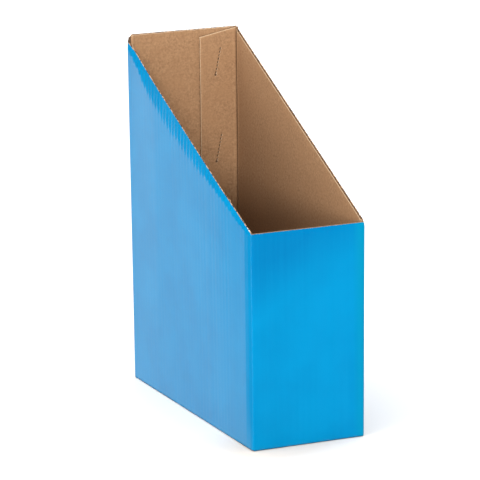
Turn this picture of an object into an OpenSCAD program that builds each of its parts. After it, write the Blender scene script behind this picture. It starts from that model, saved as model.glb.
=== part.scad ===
// Open-top cardboard file box: one die-cut sheet of fluted board, folded and glued at one corner.
// Millimetres. The base is centred on the origin, +Z is up and the low front panel faces -Y.

/* [Box] */
// Outside width across the front panel
box_width = 103; // [80:1:200]
// Outside depth from the front panel to the back panel
box_depth = 258; // [180:1:400]
// Outside height of the back panel
back_height = 310; // [220:1:450]
// Outside height of the front panel
front_height = 184; // [60:1:200]

/* [Board] */
// Thickness of the board over both liners
board_t = 3; // [2.5:0.1:4.5]
// Thickness of the outer liner with its printed sheet
outer_liner_t = 0.4; // [0.2:0.05:0.6]
// Thickness of the inner liner
inner_liner_t = 0.35; // [0.2:0.05:0.6]
// Thickness of the waved sheet between the liners
medium_t = 0.3; // [0.2:0.05:0.5]
// Length of one wave, measured across the flutes
flute_pitch = 6.35; // [5:0.05:9]

/* [Folds] */
// Outside radius of every fold
fold_radius = 2.5; // [1.5:0.1:3]
// How far the crushed board of a fold runs past the inside corner
crush_run = 2.4; // [1.5:0.1:4]
// Depth of the slit that the scoring rule leaves in an inside corner
crease_depth = 1.2; // [0.6:0.1:1.5]
// Width of that slit at its mouth
crease_mouth = 0.8; // [0.4:0.1:1.2]
// Height of the bead that the scoring rule raises beside an inside corner
bead_height = 0.42; // [0.2:0.02:0.8]
// Length of that bead across the fold
bead_run = 3.6; // [2:0.1:6]
// Drop of the left rim below the back panel's top where it leaves the back fold
left_rim_drop = 5.6; // [0.5:0.1:12]
// Drop of the right rim below the back panel's top where it leaves the glued corner
right_rim_drop = 0.9; // [0.5:0.1:12]
// Rise of a side rim above the front panel where it leaves the front fold
front_rim_rise = 0.9; // [0.2:0.1:4]

/* [Glue flap] */
// Width of the flap from the inside corner to its cut edge
flap_width = 34; // [20:0.5:60]
// Fall of the flap's top edge from the fold to the cut edge
flap_top_taper = 6.6; // [2:0.1:20]
// Gap between the foot of the flap and the bottom flaps
flap_foot_gap = 1; // [0.5:0.1:5]
// Setback of the back panel's cut edge from the outside of the right panel
joint_setback = 0.6; // [0.2:0.1:2]

/* [Skip cuts] */
// Number of cut lines down the flap
skip_lines = 4; // [2:1:5]
// Cuts in each line
skip_cuts = 8; // [3:1:9]
// Distance of the first cut below the top of the back panel
skip_top = 17; // [14:0.5:30]
// Distance of the last cut above the base
skip_bottom = 34; // [20:0.5:40]
// Distance from one cut to the next along a line
skip_pitch = 3.1; // [2.6:0.1:4]
// Length of one cut
skip_length = 2; // [1:0.1:2.4]
// Width of one cut
skip_width = 0.6; // [0.3:0.1:1]
// Depth of a cut from the flap's face, through the liner into the flutes
skip_depth = 1; // [0.5:0.1:2]
// Distance of a line's top end from the fold
skip_inset = 14.3; // [10:0.1:16]
// Lean of a line, away from the fold as it goes down
skip_lean = 12; // [0:1:20]
// Diameter of the hole that ends a line
skip_end_hole = 1.5; // [0.8:0.1:2.5]

/* [Bottom flaps] */
// Gap between the two side flaps where they meet under the box
seam_gap = 1; // [0.5:0.1:3]
// Gap between a side flap's ends and the climbing part of the front and back folds
side_flap_gap = 0.9; // [0.4:0.1:4]
// Setback of the front and back folds from the outside of the side panels
end_fold_setback = 2.2; // [1.5:0.1:4]
// Clearance between the sides of a front or back flap and the side panels
end_flap_clearance = 0.8; // [0.5:0.1:2]
// Thickness of the crushed board in a front or back fold
crushed_t = 2.2; // [1.5:0.1:2.4]
// Climb angle of a front or back fold on to the side flaps
climb = 60; // [50:1:70]

/* [Hidden] */
$fn = 48;
printed_blue = "#2f9bd8";
past = 2; // run of a cut past the surface that it opens
sink = 0.1; // overlap of a raised form with the face under it
slit_floor = 0.2; // width of a slit at its bottom
bead_steps = 4; // straight pieces across a bead
lip_share = 0.16; // share of a wave from a channel's cell edge to its foot
roll_skin = 0.3; // depth of a fold's outer skin, over which a side rim reaches the level rim
half_w = box_width / 2;
half_d = box_depth / 2;
inner_w = half_w - board_t;
inner_d = half_d - board_t;
fold_zone = board_t + crush_run; // from the outside corner to the first flute
side_reach = board_t + bead_height + past; // run in X of a cut that opens a side panel's whole rim
channel_h = board_t - outer_liner_t - inner_liner_t;
end_reach = half_w - seam_gap / 2; // how far a front or back flap runs in
wall_foot = fold_radius; // height at which the walls turn into the bottom folds
edge_margin = 1.2; // closed board beside a cut edge that runs along the flutes
// front and back folds: tangent of the roll with the climbing part, and the line above it
tangent_y = fold_radius * (1 + sin(climb));
tangent_z = fold_radius * (1 - cos(climb));
climb_end = tangent_y + (board_t - tangent_z) / tan(climb);
upper_y = tangent_y - crushed_t * sin(climb);
upper_z = tangent_z + crushed_t * cos(climb);
upper_end = upper_y + (2 * board_t - upper_z) / tan(climb);
notch_z = upper_z + (board_t - upper_y) * tan(climb);
side_flap_setback = climb_end + side_flap_gap; // from the outside of the front and back panels
skip_run = skip_cuts * skip_pitch; // length of one line
skip_line_pitch = (back_height - skip_top - skip_run - skip_bottom) / (skip_lines - 1);

// Height of the waved sheet's near face over its liner, at the given share of a wave
function wave(share, pitch) =
    let (swing = channel_h - medium_t)
    let (steep = PI * swing / pitch * sin(360 * share))
    swing * (1 - cos(360 * share)) / 2 - medium_t * (sqrt(1 + steep * steep) - 1) / 2;

// Outline of one channel between a liner and the waved sheet, through the given shares of a wave
function channel(pitch, shares) =
    let (foot = lip_share * pitch)
    concat([[foot, 0]], [for (s = shares) [s * pitch, wave(s, pitch)]], [[pitch - foot, 0]]);

function flute_count(run) = round(run / flute_pitch);

// Channels of a piece of board: X across the flutes, Y inwards from the outer face, Z along them
module flutes(run, length, shares = [0.30, 0.42, 0.58, 0.70]) {
    count = flute_count(run);
    pitch = run / count;
    for (i = [0:count - 1])
        translate([i * pitch, outer_liner_t, 0])
            linear_extrude(length)
                polygon(channel(pitch, shares));
    for (i = [0:count - 2])
        translate([(i + 0.5) * pitch, board_t - inner_liner_t, 0])
            mirror([0, 1, 0])
                linear_extrude(length)
                    polygon(channel(pitch, shares));
}

module box_between(a, b) {
    translate(a)
        cube(b - a);
}

// Upright fold: X and Y of the roll's centre
module fold_roll(x, y) {
    translate([x, y, wall_foot])
        cylinder(r = fold_radius, h = back_height + past - wall_foot);
}

// The four walls before the rim is cut, with three folds and the glued corner at the back right
module walls() {
    top = back_height + past;
    roll_x = half_w - fold_radius;
    roll_y = half_d - fold_radius;
    difference() {
        union() {
            box_between([-half_w, -roll_y, wall_foot], [half_w, roll_y - board_t, top]);
            box_between([-half_w, 0, wall_foot], [roll_x, roll_y, top]);
            box_between([-roll_x, -half_d, wall_foot], [roll_x, half_d, top]);
            box_between([0, half_d - board_t, wall_foot], [half_w - joint_setback, half_d, top]);
            fold_roll(-roll_x, -roll_y);
            fold_roll(roll_x, -roll_y);
            fold_roll(-roll_x, roll_y);
            fold_roll(roll_x, roll_y - board_t);
        }
        box_between([-inner_w, -inner_d, 0], [inner_w, inner_d, top + past]);
    }
}

// Bead beside an inside corner, on the wall that runs along +X from it
module bead() {
    swell = [for (i = [0:bead_steps])
        [bead_run * i / bead_steps, bead_height * sin(180 * i / bead_steps)]];
    linear_extrude(back_height + past - wall_foot - 2 * board_t)
        polygon(concat([[0, -sink]], swell, [[bead_run, -sink]]));
}

// Both beads of an inside corner that opens towards +X and +Y
module bead_pair() {
    bead();
    mirror([1, -1, 0])
        bead();
}

// Outline of the slit in an inside corner that opens towards +X and +Y
module slit() {
    half_mouth = crease_mouth / 2;
    rotate(45)
        polygon([
            [-crease_depth, -slit_floor / 2],
            [half_mouth, -half_mouth],
            [half_mouth, half_mouth],
            [-crease_depth, slit_floor / 2]
        ]);
}

// Puts its children in each inside corner, turned so that the corner opens towards +X and +Y
module at_inside_corners() {
    translate([-inner_w, -inner_d, 0])
        children();
    translate([inner_w, -inner_d, 0])
        rotate(90)
            children();
    translate([inner_w, inner_d - board_t, 0])
        rotate(180)
            children();
    translate([-inner_w, inner_d, 0])
        rotate(-90)
            children();
}

// Everything above a slanted side rim, from the given place in X inwards or outwards by the board's reach
module above_side_rim(x, drop) {
    rim_end = half_d - fold_radius;
    corner_end = half_d - roll_skin;
    top = back_height + 2 * past;
    translate([x, 0, 0])
        rotate([90, 0, 90])
            linear_extrude(side_reach)
                polygon([
                    [-half_d - past, front_height],
                    [-corner_end, front_height],
                    [-rim_end, front_height + front_rim_rise],
                    [rim_end, back_height - drop],
                    [corner_end, back_height],
                    [half_d + past, back_height],
                    [half_d + past, top],
                    [-half_d - past, top]
                ]);
}

module above_side_rims() {
    above_side_rim(-half_w - past, left_rim_drop);
    above_side_rim(half_w + past - side_reach, right_rim_drop);
}

// Everything above the level rims of the front and back panels
module above_level_rims() {
    top = back_height + 2 * past;
    box_between([-half_w - past, -half_d - past, back_height], [half_w + past, half_d + past, top]);
    side = inner_w - bead_height;
    box_between([-side, -half_d - past, front_height], [side, -inner_d + bead_run, top]);
}

// Room above the top edge of the glue flap, so that its bead ends with it
module above_flap() {
    translate([0, inner_d, 0])
        rotate([90, 0, 0])
            linear_extrude(board_t + bead_height + sink)
                polygon([
                    [inner_w - flap_width, back_height - flap_top_taper],
                    [inner_w, back_height],
                    [inner_w - flap_width, back_height + 2 * past]
                ]);
}

// Glue flap: folded from the right panel and glued inside the back panel
module glue_flap() {
    outer_y = half_d - board_t;
    foot = 2 * board_t + flap_foot_gap;
    translate([0, outer_y + sink, 0])
        rotate([90, 0, 0])
            linear_extrude(board_t + sink)
                polygon([
                    [inner_w - flap_width, foot + flap_top_taper],
                    [inner_w, foot],
                    [inner_w, back_height],
                    [inner_w - flap_width, back_height - flap_top_taper]
                ]);
}

// Lines of short cuts that let the glue bite through the flap
module skip_cut_lines() {
    face_y = half_d - 2 * board_t;
    for (line = [0:skip_lines - 1])
        translate([inner_w - skip_inset, face_y - past, back_height - skip_top - line * skip_line_pitch])
            rotate([0, skip_lean, 0]) {
                for (i = [0:skip_cuts - 1])
                    translate([-skip_width / 2, 0, -i * skip_pitch - skip_length])
                        cube([skip_width, past + skip_depth, skip_length]);
                translate([0, 0, -skip_run])
                    rotate([-90, 0, 0])
                        cylinder(d = skip_end_hole, h = past + skip_depth);
            }
}

// Side flap of the bottom: X inwards from the outside of its panel, Y along the fold, Z up
module side_flap() {
    length = box_depth - 2 * side_flap_setback;
    translate([0, length / 2, 0])
        rotate([90, 0, 0])
            linear_extrude(length)
                difference() {
                    union() {
                        translate([0, fold_radius])
                            square([board_t, 2 * board_t]);
                        translate([fold_radius, 0])
                            square([half_w - seam_gap / 2 - fold_radius, board_t]);
                        translate([fold_radius, fold_radius])
                            circle(fold_radius);
                    }
                    translate([board_t, board_t])
                        slit();
                }
}

// Front or back flap of the bottom: Y inwards from the outside of its panel, X along the fold, Z up
module end_flap() {
    roll_length = box_width - 2 * end_fold_setback;
    flap_length = 2 * (inner_w - end_flap_clearance);
    // the roll under the panel
    translate([-roll_length / 2, 0, 0])
        rotate([90, 0, 90])
            linear_extrude(roll_length)
                union() {
                    translate([fold_radius, fold_radius])
                        circle(fold_radius);
                    translate([0, fold_radius])
                        square([board_t, board_t]);
                }
    // the climbing part and the flap, which lies on the side flaps
    translate([-flap_length / 2, 0, 0])
        rotate([90, 0, 90])
            linear_extrude(flap_length)
                polygon([
                    [fold_radius, fold_radius],
                    [tangent_y, tangent_z],
                    [climb_end, board_t],
                    [end_reach, board_t],
                    [end_reach, 2 * board_t],
                    [upper_end, 2 * board_t],
                    [board_t, notch_z],
                    [fold_radius, notch_z]
                ]);
}

module bottom_flaps() {
    translate([-half_w, 0, 0])
        side_flap();
    translate([half_w, 0, 0])
        rotate(180)
            side_flap();
    translate([0, -half_d, 0])
        end_flap();
    translate([0, half_d, 0])
        rotate(180)
            end_flap();
}

module wall_flutes() {
    side_run = box_depth - 2 * fold_zone;
    right_run = side_run - board_t;
    front_run = box_width - 2 * fold_zone;
    back_run = box_width - fold_zone - joint_setback - edge_margin;
    flap_run = flap_width - crush_run - edge_margin;
    foot = 2 * board_t + crush_run;
    top = back_height + past - foot;
    translate([-front_run / 2, -half_d, foot])
        flutes(front_run, top);
    translate([-half_w, side_run / 2, foot])
        rotate(-90)
            flutes(side_run, top);
    translate([half_w, -side_run / 2, foot])
        rotate(90)
            flutes(right_run, top);
    translate([back_run - half_w + fold_zone, half_d, foot])
        rotate(180)
            flutes(back_run, top);
    translate([inner_w - crush_run, half_d - board_t, foot + flap_foot_gap])
        rotate(180)
            flutes(flap_run, top);
}

module bottom_flutes() {
    plain = [0.36, 0.64];
    side_run = box_depth - 2 * side_flap_setback - 2 * edge_margin;
    side_length = half_w - fold_zone - seam_gap / 4; // ends inside the seam
    end_run = 2 * (inner_w - end_flap_clearance - edge_margin);
    end_start = climb_end + crush_run;
    end_length = end_reach - end_start + past;
    translate([-half_w + fold_zone, -side_run / 2, 0])
        rotate([90, 0, 90])
            flutes(side_run, side_length, plain);
    translate([half_w - fold_zone, side_run / 2, 0])
        rotate([90, 0, -90])
            flutes(side_run, side_length, plain);
    translate([end_run / 2, -half_d + end_start, board_t])
        rotate([90, 0, 180])
            flutes(end_run, end_length, plain);
    translate([-end_run / 2, half_d - end_start, board_t])
        rotate([90, 0, 0])
            flutes(end_run, end_length, plain);
}

module folded_box() {
    color(printed_blue)
        difference() {
            union() {
                difference() {
                    union() {
                        walls();
                        at_inside_corners()
                            translate([0, 0, 2 * board_t + wall_foot])
                                bead_pair();
                    }
                    above_side_rims();
                    above_level_rims();
                    above_flap();
                }
                glue_flap();
                bottom_flaps();
            }
            at_inside_corners()
                translate([0, 0, 2 * board_t])
                    linear_extrude(back_height)
                        slit();
            wall_flutes();
            bottom_flutes();
            skip_cut_lines();
        }
}

folded_box();
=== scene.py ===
"""Looks of an open cardboard file box: a printed, fluted board, folded and glued at one corner.

Every sheet of the board is drawn as it is made: a printed outer liner, a waved medium and a kraft
inner liner, each swept round the box as one strip. All sizes are in metres, in the frame of the
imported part: the base on the floor, +Z up and the low front panel towards -Y.
"""
import logging
import math
from dataclasses import dataclass, field
from enum import Enum

import bmesh
import bpy
from mathutils import Matrix, Vector, noise


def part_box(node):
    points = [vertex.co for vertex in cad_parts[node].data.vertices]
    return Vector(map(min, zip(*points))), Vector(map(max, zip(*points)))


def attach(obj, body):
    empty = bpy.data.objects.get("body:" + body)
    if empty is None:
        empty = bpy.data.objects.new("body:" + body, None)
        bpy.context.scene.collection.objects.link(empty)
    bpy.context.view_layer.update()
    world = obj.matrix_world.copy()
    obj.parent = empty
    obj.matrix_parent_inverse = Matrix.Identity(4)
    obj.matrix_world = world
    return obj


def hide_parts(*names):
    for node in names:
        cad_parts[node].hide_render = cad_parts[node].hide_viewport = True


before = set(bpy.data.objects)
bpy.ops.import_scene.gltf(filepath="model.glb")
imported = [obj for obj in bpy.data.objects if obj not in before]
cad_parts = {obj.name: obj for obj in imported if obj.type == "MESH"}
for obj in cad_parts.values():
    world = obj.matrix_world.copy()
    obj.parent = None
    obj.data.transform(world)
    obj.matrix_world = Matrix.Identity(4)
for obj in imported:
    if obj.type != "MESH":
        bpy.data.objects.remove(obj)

LOG = logging.getLogger("open_cardboard_box")
MM = 0.001
NODE = "folded_box"
BODY = "root"
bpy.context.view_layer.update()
NOISE_SPAN = (0.3, 0.7)
Tree = bpy.types.NodeTree
Socket = bpy.types.NodeSocket
Material = bpy.types.Material
Vert = bmesh.types.BMVert
Span = tuple[float, float]
Triple = tuple[float, float, float]


class Panel(Enum):
    """A stretch of the sheet, in the order in which it runs round the box."""

    BACK = 0
    LEFT = 1
    FRONT = 2
    RIGHT = 3
    FLAP = 4


def linear(hex_colour: str) -> tuple[float, float, float, float]:
    """Turns an sRGB hex colour into the linear colour of a shader.

    Args:
        hex_colour: Six hex digits, as in "2f9bd8".

    Returns:
        Linear red, green, blue and an alpha of 1.
    """
    channels = [int(hex_colour[i : i + 2], 16) / 255 for i in (0, 2, 4)]
    straight = [c / 12.92 if c <= 0.04045 else ((c + 0.055) / 1.055) ** 2.4 for c in channels]
    return (*straight, 1.0)


def ramp(value: float, low: float, high: float) -> float:
    """Share that rises smoothly from 0 at low to 1 at high."""
    share = min(1.0, max(0.0, (value - low) / (high - low)))
    return share * share * (3 - 2 * share)


# Sizes


@dataclass(frozen=True)
class BoardSizes:
    """Section of the fluted board, as the solid has it."""

    thickness: float = 3.0 * MM
    outer_liner: float = 0.4 * MM
    inner_liner: float = 0.35 * MM
    medium: float = 0.3 * MM
    pitch: float = 6.35 * MM
    edge_margin: float = 1.2 * MM

    @property
    def channel(self) -> float:
        """Room between the two liners."""
        return self.thickness - self.outer_liner - self.inner_liner

    @property
    def swing(self) -> float:
        """Travel of the waved sheet's middle from one liner to the other."""
        return self.channel - self.medium


@dataclass(frozen=True)
class BoxForm:
    """Outline of the folded box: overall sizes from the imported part, the rest as its source has
    them, apart from sharper folds and side walls that lean out a little.
    """

    low: Vector
    high: Vector
    board: BoardSizes = field(default_factory=BoardSizes)
    front_height: float = 184 * MM
    fold_radius: float = 1.6 * MM
    foot_radius: float = 1.7 * MM
    corner_foot: float = 0.4 * MM
    corner_lift: float = 1.9 * MM
    corner_play: float = 0.05 * MM
    crush_run: float = 2.4 * MM
    crease_depth: float = 2.3 * MM
    crease_width: float = 0.1 * MM
    lip_depth: float = 0.9 * MM
    lip_width: float = 0.75 * MM
    bead_height: float = 0.42 * MM
    bead_run: float = 3.6 * MM
    left_rim_drop: float = 5.6 * MM
    left_corner_run: float = 4.4 * MM
    right_rim_drop: float = 0.7 * MM
    front_rim_rise: float = 0.9 * MM
    roll_skin: float = 0.3 * MM
    flap_width: float = 34 * MM
    flap_top_taper: float = 6.6 * MM
    flap_foot_gap: float = 1 * MM
    joint_setback: float = 0.6 * MM
    right_lean: Span = (-0.35 * MM, 1.2 * MM)
    left_lean: Span = (-0.3 * MM, 0.9 * MM)
    lean_top: float = 186 * MM

    @property
    def half_w(self) -> float:
        """Half the outside width."""
        return (self.high.x - self.low.x) / 2

    @property
    def half_d(self) -> float:
        """Half the outside depth."""
        return (self.high.y - self.low.y) / 2

    @property
    def back_height(self) -> float:
        """Outside height of the back panel."""
        return self.high.z - self.low.z

    @property
    def inner_w(self) -> float:
        """Half the inside width."""
        return self.half_w - self.board.thickness

    @property
    def inner_d(self) -> float:
        """Half the inside depth."""
        return self.half_d - self.board.thickness

    @property
    def fold_zone(self) -> float:
        """Run from an outside corner to the first flute."""
        return self.board.thickness + self.crush_run

    def flared(self, point: Vector) -> Vector:
        """Where a point goes as the filled box has spread: its side walls lean out a little.

        Args:
            point: A point of the square box.

        Returns:
            The point moved along X.
        """
        side = point.x / self.half_w
        if side > 0:
            share, rise = side, min(1.0, point.z / self.lean_top)
            foot, top = self.right_lean
        else:
            share, rise = side * (0.5 + point.y / (2 * self.half_d)), point.z / self.back_height
            foot, top = self.left_lean
        return point + Vector((share * (foot + (top - foot) * rise), 0, 0))

    def side_rim(self, y: float, drop: float) -> float:
        """Height of a slanted side rim.

        Args:
            y: Place along the side panel.
            drop: Drop of that rim below the back panel's top at the back fold.

        Returns:
            Height over the base.
        """
        rim_end = self.half_d - self.fold_radius
        corner_end = self.half_d - self.roll_skin
        points = (
            (-corner_end, self.front_height),
            (-rim_end, self.front_height + self.front_rim_rise),
            (rim_end, self.back_height - drop),
            (corner_end, self.back_height),
        )
        y = min(max(y, -corner_end), corner_end)
        (y0, z0), (y1, z1) = next(pair for pair in zip(points, points[1:]) if y <= pair[1][0])
        return z0 + (z1 - z0) * (y - y0) / (y1 - y0)

    def rim(self, panel: Panel, point: Vector) -> float:
        """Height of the cut rim over a point of the sheet.

        Args:
            panel: Stretch of the sheet that the point is on.
            point: The point, seen from above.

        Returns:
            Height over the base.
        """
        drop = self.left_rim_drop if point.x < 0 else self.right_rim_drop
        on_roll = point.y > self.half_d - self.fold_radius + self.corner_play
        if point.x < 0 and (panel is Panel.BACK or on_roll):
            share = min(1.0, (point.x + self.half_w) / self.left_corner_run)
            return self.back_height - drop * (1 - share)
        if panel is Panel.FLAP:
            share = max(0.0, (self.inner_w - point.x) / self.flap_width)
            return self.back_height - self.flap_top_taper * share
        if abs(point.x) > self.inner_w - self.bead_height:
            return self.side_rim(point.y, drop)
        return self.front_height if panel is Panel.FRONT else self.back_height


# Materials


def add_node(
    tree: Tree, kind: str, inputs: dict | None = None, **settings: object
) -> bpy.types.Node:
    """Adds a node with its settings, constants and links.

    Args:
        tree: Node tree that gets the node.
        kind: Type name of the node, without its "ShaderNode".
        inputs: Input name or index, with a constant or with the output that feeds it.
        **settings: Attributes of the node.

    Returns:
        The new node.
    """
    node = tree.nodes.new(f"ShaderNode{kind}")
    for name, value in settings.items():
        setattr(node, name, value)
    for key, value in (inputs or {}).items():
        if isinstance(value, Socket):
            tree.links.new(value, node.inputs[key])
        else:
            node.inputs[key].default_value = value
    return node


def parts(tree: Tree, vector: Socket) -> bpy.types.NodeOutputs:
    """Splits a vector into its X, Y and Z."""
    return add_node(tree, "SeparateXYZ", {0: vector}).outputs


def local(tree: Tree) -> Socket:
    """Object coordinates, in metres."""
    return add_node(tree, "TexCoord").outputs["Object"]


def calc(tree: Tree, operation: str, *values: float | Socket) -> Socket:
    """Does an operation on factors and constants."""
    return add_node(tree, "Math", dict(enumerate(values)), operation=operation).outputs[0]


def pattern(tree: Tree, grain: float | Triple, detail: float, sharp: float = 0.5) -> Socket:
    """A noise pattern in Object coordinates with a real grain size.

    Args:
        tree: Node tree that gets the nodes.
        grain: Grain size in metres, or one for each of X, Y and Z.
        detail: Octaves of finer grain.
        sharp: Roughness of the finer grain.

    Returns:
        The factor, from 0 to 1.
    """
    scale = tuple(1 / g for g in (grain if isinstance(grain, tuple) else (grain,) * 3))
    scaled = add_node(tree, "Mapping", {"Vector": local(tree), "Scale": scale}).outputs["Vector"]
    inputs = {"Vector": scaled, "Scale": 1.0, "Detail": detail, "Roughness": sharp}
    return add_node(tree, "TexNoise", inputs).outputs["Fac"]


def spread(tree: Tree, value: Socket, span: Span, to: Span = (0.0, 1.0)) -> Socket:
    """Maps a factor's span to another, held at its ends."""
    ends = {"From Min": span[0], "From Max": span[1], "To Min": to[0], "To Max": to[1]}
    return add_node(tree, "MapRange", {"Value": value, **ends}).outputs["Result"]


def blend(tree: Tree, share: Socket, first: str | Socket, second: str | Socket) -> Socket:
    """Mixes two colours, each a hex or an output, by the share of the second."""
    first, second = (linear(c) if isinstance(c, str) else c for c in (first, second))
    return add_node(tree, "Mix", {0: share, 6: first, 7: second}, data_type="RGBA").outputs[2]


def relief(tree: Tree, height: Socket, depth: float, strength: float) -> Socket:
    """Normal of a fine relief, such as fibres or orange peel."""
    inputs = {"Strength": strength, "Distance": depth, "Height": height}
    return add_node(tree, "Bump", inputs).outputs["Normal"]


@dataclass(frozen=True)
class Finish:
    """A real material with its finish."""

    name: str

    def paint(self, tree: Tree) -> dict:
        """Draws the patterns and gives the shader's inputs. Each finish has its own."""
        raise NotImplementedError

    def make(self) -> Material:
        """Builds the material.

        Returns:
            The material.
        """
        material = bpy.data.materials.new(self.name)
        material.use_nodes = True
        tree = material.node_tree
        tree.nodes.clear()
        shader = add_node(tree, "BsdfPrincipled", self.paint(tree))
        add_node(tree, "OutputMaterial", {"Surface": shader.outputs["BSDF"]})
        return material


@dataclass(frozen=True)
class PrintedLiner(Finish):
    """Offset-printed paper, laminated to the outer liner and varnished.

    Solid blue ink under a clear varnish: a deep colour where it faces dark, and a pale veil where
    it mirrors something light at a low angle. Faint lighter upright streaks are painted in as the
    washboard shading of the flutes behind it. The front panel is deeper towards its rim and right
    end, and the foot folds are painted dark where they face down, as shade under them.
    """

    name: str = "offset_printed_paper_varnished_blue"
    deep: str = "0073a3"
    pale: str = "0079a9"
    painted_flute_shading_tint: str = "0082b2"
    shoulder: str = "006799"
    turned: str = "00789a"
    painted_foot_shade: str = "17303f"
    ior: float = 1.3
    roughness: Span = (0.1, 0.13)
    mottle: float = 40 * MM
    mottle_span: Span = (0.35, 0.65)
    streak: Triple = (2.6 * MM, 2.6 * MM, 160 * MM)
    streak_span: Span = (0.35, 0.7)
    streak_share: Span = (0.0, 0.12)
    peel: float = 1.1 * MM
    peel_depth: float = 0.02 * MM
    peel_strength: float = 0.35
    fore: Span = (-127.5 * MM, -128.6 * MM)
    shoulder_rise: Span = (138 * MM, 178 * MM)
    shoulder_wander: Span = (-8 * MM, 8 * MM)
    shoulder_slope: float = -0.52
    turned_span: Span = (41 * MM, 50 * MM)
    looks_down: Span = (-0.45, -0.8)
    still_rolled: Span = (-0.995, -0.97)

    def paint(self, tree: Tree) -> dict:
        """Draws the ink, its depth along the folds and the varnish's orange peel.

        Args:
            tree: The material's node tree.

        Returns:
            The shader's inputs.
        """
        mottle = pattern(tree, self.mottle, 3)
        streak = pattern(tree, self.streak, 2)
        place = parts(tree, local(tree))
        fore = spread(tree, place["Y"], self.fore)
        wander = spread(tree, mottle, NOISE_SPAN, self.shoulder_wander)
        slope = calc(tree, "MULTIPLY_ADD", place["X"], self.shoulder_slope, place["Z"])
        rise = spread(tree, calc(tree, "ADD", slope, wander), self.shoulder_rise)
        edge = spread(tree, place["X"], self.turned_span)
        tilt = parts(tree, add_node(tree, "NewGeometry").outputs["Normal"])["Z"]
        under = spread(tree, tilt, self.looks_down)
        rolled = spread(tree, tilt, self.still_rolled)

        colour = blend(tree, spread(tree, mottle, self.mottle_span), self.deep, self.pale)
        for share, tone in ((rise, self.shoulder), (edge, self.turned)):
            colour = blend(tree, calc(tree, "MULTIPLY", share, fore), colour, tone)
        # Painted washboard shading: faint upright streaks of a lighter blue.
        streaks = spread(tree, streak, self.streak_span, self.streak_share)
        colour = blend(tree, streaks, colour, self.painted_flute_shading_tint)
        # Painted shade: the foot folds turn dark navy where their surface faces down.
        colour = blend(tree, calc(tree, "MULTIPLY", under, rolled), colour, self.painted_foot_shade)
        peel = pattern(tree, self.peel, 3)
        return {
            "Base Color": colour,
            "Roughness": spread(tree, streak, NOISE_SPAN, self.roughness),
            "Normal": relief(tree, peel, self.peel_depth, self.peel_strength),
            "IOR": self.ior,
        }


@dataclass(frozen=True)
class KraftPaper(Finish):
    """Unbleached kraft paper, as it comes off the machine: matt, with fibres and dark flecks.

    The fibres are finer than a pixel of the photograph, so they are drawn about twice as coarse.
    """

    name: str = "kraft_paper_liner_unbleached"
    dark: str = "6e4f34"
    middle: str = "926e4d"
    light: str = "a98562"
    fleck: str = "5f412b"
    ior: float = 1.4
    roughness: float = 0.86
    mottle: float = 16 * MM
    mottle_share: Span = (0.35, 0.75)
    cloud: float = 1.9 * MM
    cloud_span: Span = (0.3, 0.72)
    fibre: Triple = (2.6 * MM, 2.6 * MM, 0.9 * MM)
    fibre_span: Span = (0.55, 0.75)
    fibre_share: Span = (0.0, 0.45)
    fleck_span: Span = (0.6, 0.74)
    fleck_share: Span = (0.0, 0.5)
    fibre_depth: float = 0.06 * MM
    fibre_strength: float = 0.5

    def paint(self, tree: Tree) -> dict:
        """Draws the clouded ground, the fibres and the flecks.

        Args:
            tree: The material's node tree.

        Returns:
            The shader's inputs.
        """
        cloud = pattern(tree, self.cloud, 4, 0.65)
        mottle = pattern(tree, self.mottle, 2)
        fibre = pattern(tree, self.fibre, 4, 0.7)
        cross = pattern(tree, self.fibre[::-1], 4, 0.7)
        colour = blend(tree, spread(tree, cloud, self.cloud_span), self.dark, self.light)
        for grain, span, share, tone in (
            (mottle, NOISE_SPAN, self.mottle_share, self.middle),
            (fibre, self.fibre_span, self.fibre_share, self.light),
            (cross, self.fleck_span, self.fleck_share, self.fleck),
        ):
            colour = blend(tree, spread(tree, grain, span, share), colour, tone)
        return {
            "Base Color": colour,
            "Roughness": self.roughness,
            "Normal": relief(tree, fibre, self.fibre_depth, self.fibre_strength),
            "IOR": self.ior,
        }


@dataclass(frozen=True)
class PrintEdge(Finish):
    """Die-cut edge of the outer liner under its print: painted dark as shade along the cut, with
    short light fuzz, and white where the coated paper has chipped along the low front rim.
    """

    name: str = "kraft_liner_edge_painted_shade_and_chips"
    # The dark tone is painted shade.
    dark: str = "2f1f14"
    light: str = "bb936c"
    chip: str = "e9e4da"
    fuzz: float = 2.5 * MM
    fuzz_span: Span = (0.42, 0.6)
    chip_size: float = 3.2 * MM
    chip_span: Span = (0.56, 0.6)
    chips_below: Span = (190 * MM, 188 * MM)
    roughness: float = 0.85
    ior: float = 1.4

    def paint(self, tree: Tree) -> dict:
        """Draws the fuzz and the chips.

        Args:
            tree: The material's node tree.

        Returns:
            The shader's inputs.
        """
        low = spread(tree, parts(tree, local(tree))["Z"], self.chips_below)
        chipped = spread(tree, pattern(tree, self.chip_size, 2), self.chip_span)
        fuzz = spread(tree, pattern(tree, self.fuzz, 2), self.fuzz_span)
        edge = blend(tree, fuzz, self.dark, self.light)
        colour = blend(tree, calc(tree, "MULTIPLY", low, chipped), edge, self.chip)
        return {"Base Color": colour, "Roughness": self.roughness, "IOR": self.ior}


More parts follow.
